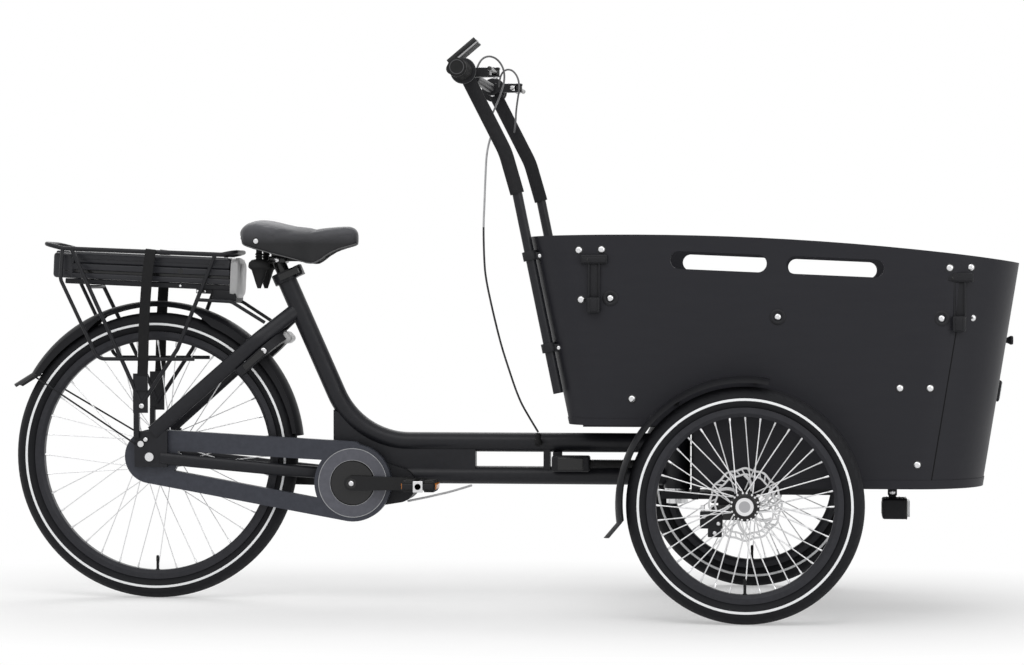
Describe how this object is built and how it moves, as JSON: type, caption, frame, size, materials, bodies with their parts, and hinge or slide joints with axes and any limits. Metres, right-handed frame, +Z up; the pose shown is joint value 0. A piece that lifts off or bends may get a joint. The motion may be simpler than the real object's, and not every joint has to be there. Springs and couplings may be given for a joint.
{
  "type": "cargo tricycle",
  "caption": "Electric cargo tricycle with a deep front box between its steered wheels, a swept low frame, chain drive, rear rack battery and padded saddle.",
  "frame": {"origin": "on the ground under the middle of the whole length and width", "axes": "+X forward, +Y to the rider's left, +Z up"},
  "size_m": [2.2898, 0.8766, 1.2732],
  "materials": {
    "frame_paint": "satin powder coat, near black",
    "box_board": "plywood with a smooth charcoal film",
    "black_plastic": "fine grained black",
    "case_plastic": "slate grey, satin",
    "window_plastic": "smoke grey, translucent",
    "tyre_rubber": "black with a pale reflective stripe",
    "rim_alloy": "black anodised",
    "spoke_steel": "bright",
    "hub_black": "gloss black",
    "steel": "bright zinc",
    "rotor_steel": "ground",
    "rubber": "matte black",
    "saddle_vinyl": "black grained",
    "lens": "clear, ribbed",
    "pedal": "black with an amber reflector",
    "chain": "oiled"
  },
  "bodies": {
    "frame": {"main_frame": "frame_paint", "motor_unit": "black_plastic", "chain_case": "case_plastic", "chain_case_window": "window_plastic", "drive_chain": "chain", "rear_axle_set": "steel", "rear_mudguard": "black_plastic", "luggage_rack": "frame_paint", "battery_rail": "black_plastic", "ring_lock": "black_plastic", "seat_clamp": "frame_paint", "pivot_bearings": "steel", "frame_cables": "black_plastic"},
    "battery": {"battery_case": "black_plastic"},
    "seat": {"seat_post": "hub_black", "saddle_base": "rubber", "saddle_cover": "saddle_vinyl"},
    "seat_clamp_lever": {"seat_clamp_lever": "hub_black"},
    "rear_wheel": {"rear_tyre": "tyre_rubber", "rear_rim": "rim_alloy", "rear_spokes": "spoke_steel", "rear_hub": "hub_black"},
    "rear_sprocket": {"rear_sprocket": "chain"},
    "crank": {"crank_axles": "steel", "crank_arms": "hub_black", "chainring": "hub_black"},
    "pedal_right": {"pedal_right": "pedal"},
    "pedal_left": {"pedal_left": "pedal"},
    "front": {"front_subframe": "frame_paint", "kingpin": "steel", "box_side_right": "box_board", "box_side_left": "box_board", "box_front_panel": "box_board", "box_rear_panel": "box_board", "box_floor": "box_board", "box_bolts": "steel", "box_fittings": "black_plastic", "front_mudguards": "black_plastic", "handlebar": "frame_paint", "bar_sleeves": "rubber", "grips": "rubber", "bar_controls": "black_plastic", "brake_calipers": "hub_black", "wheel_bolts": "steel", "brake_cables": "rubber", "control_cable": "rubber"},
    "headlight": {"headlight": "black_plastic", "headlight_lens": "lens"},
    "brake_lever_right": {"brake_lever_right": "hub_black"},
    "brake_lever_left": {"brake_lever_left": "hub_black"},
    "front_wheel_right": {"front_tyre_right": "tyre_rubber", "front_rim_right": "rim_alloy", "front_spokes_right": "spoke_steel", "front_hub_right": "hub_black", "front_rotor_right": "rotor_steel"},
    "front_wheel_left": {"front_tyre_left": "tyre_rubber", "front_rim_left": "rim_alloy", "front_spokes_left": "spoke_steel", "front_hub_left": "hub_black", "front_rotor_left": "rotor_steel"}
  },
  "joints": [
    {"name": "steer", "type": "hinge", "parent": "frame", "child": "front", "pos_m": [0.39672, 0, 0.327], "axis": [0, 0, 1], "range_deg": [-40, 40]},
    {"name": "front_wheel_right_spin", "type": "hinge", "parent": "front", "child": "front_wheel_right", "pos_m": [0.55872, -0.4, 0.253], "axis": [0, 1, 0], "continuous": true},
    {"name": "front_wheel_left_spin", "type": "hinge", "parent": "front", "child": "front_wheel_left", "pos_m": [0.55872, 0.4, 0.253], "axis": [0, 1, 0], "continuous": true},
    {"name": "rear_wheel_spin", "type": "hinge", "parent": "frame", "child": "rear_wheel", "pos_m": [-0.80328, 0, 0.3295], "axis": [0, 1, 0], "continuous": true},
    {"name": "crank_spin", "type": "hinge", "parent": "frame", "child": "crank", "pos_m": [-0.33778, 0, 0.272], "axis": [0, 1, 0], "continuous": true},
    {"name": "rear_sprocket_spin", "type": "hinge", "parent": "frame", "child": "rear_sprocket", "pos_m": [-0.80328, -0.051, 0.3295], "axis": [0, 1, 0], "continuous": true},
    {"name": "pedal_right_spin", "type": "hinge", "parent": "crank", "child": "pedal_right", "pos_m": [-0.17278, -0.13, 0.272], "axis": [0, 1, 0], "continuous": true},
    {"name": "pedal_left_spin", "type": "hinge", "parent": "crank", "child": "pedal_left", "pos_m": [-0.50278, 0.13, 0.272], "axis": [0, 1, 0], "continuous": true},
    {"name": "seat_height", "type": "slide", "parent": "frame", "child": "seat", "axis": [-0.4067, 0, 0.9135], "range_m": [0, 0.15]},
    {"name": "seat_clamp_swing", "type": "hinge", "parent": "frame", "child": "seat_clamp_lever", "pos_m": [-0.46563, -0.0165, 0.74472], "axis": [-0.4067, 0, 0.9135], "range_deg": [0, 90]},
    {"name": "brake_pull_right", "type": "hinge", "parent": "front", "child": "brake_lever_right", "pos_m": [0.00972, -0.247, 1.187], "axis": [0, 0, -1], "range_deg": [0, 15], "stiffness_Nm_per_rad": 1.5},
    {"name": "brake_pull_left", "type": "hinge", "parent": "front", "child": "brake_lever_left", "pos_m": [0.00972, 0.247, 1.187], "axis": [0, 0, 1], "range_deg": [0, 15], "stiffness_Nm_per_rad": 1.5},
    {"name": "battery_slide", "type": "slide", "parent": "frame", "child": "battery", "axis": [-0.999, 0, 0.0436], "range_m": [0, 0.4]},
    {"name": "headlight_tilt", "type": "hinge", "parent": "front", "child": "headlight", "pos_m": [0.88072, 0, 0.256], "axis": [0, 1, 0], "range_deg": [-15, 15]}
  ],
  "couplings": [
    {"joint": "rear_sprocket_spin", "follows": "crank_spin", "ratio": 2.25}
  ]
}
